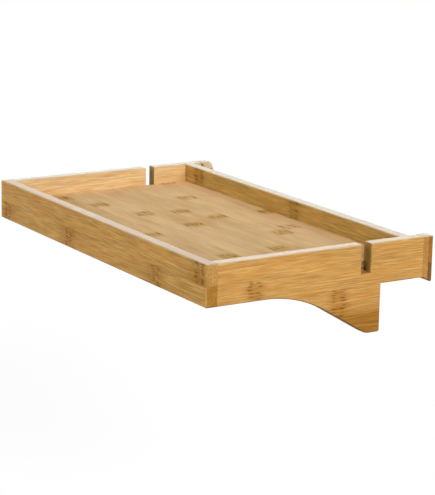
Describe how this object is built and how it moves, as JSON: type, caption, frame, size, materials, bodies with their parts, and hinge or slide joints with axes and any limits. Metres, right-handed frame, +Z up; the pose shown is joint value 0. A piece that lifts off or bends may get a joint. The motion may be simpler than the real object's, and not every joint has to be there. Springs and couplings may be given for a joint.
{
  "type": "clip-on bedside shelf",
  "caption": "Long bamboo tray that clips over a bed's side rail: rectangular rim, inset floor, slotted side plates with curved legs and a hooked rear rail.",
  "frame": {"origin": "seat on the bed's side rail: midway between the side plates, at the legs' rear faces, level with the plates' undersides", "axes": "+X along the bed, to the right seen from the room; +Y from the room towards the mattress; +Z up"},
  "size_m": [0.56, 0.341, 0.117],
  "materials": {
    "bamboo_board": "satin lacquer",
    "bamboo_floor": "satin lacquer",
    "dowel_wood": "raw, glued"
  },
  "bodies": {
    "root": {"front_rail": "bamboo_board", "left_side_plate": "bamboo_board", "right_side_plate": "bamboo_board", "back_wall": "bamboo_board", "rear_rail": "bamboo_board", "floor_panel": "bamboo_floor", "front_left_dowels": "dowel_wood", "front_right_dowels": "dowel_wood", "back_left_dowels": "dowel_wood", "back_right_dowels": "dowel_wood", "rear_left_dowels": "dowel_wood", "rear_right_dowels": "dowel_wood"}
  },
  "joints": []
}
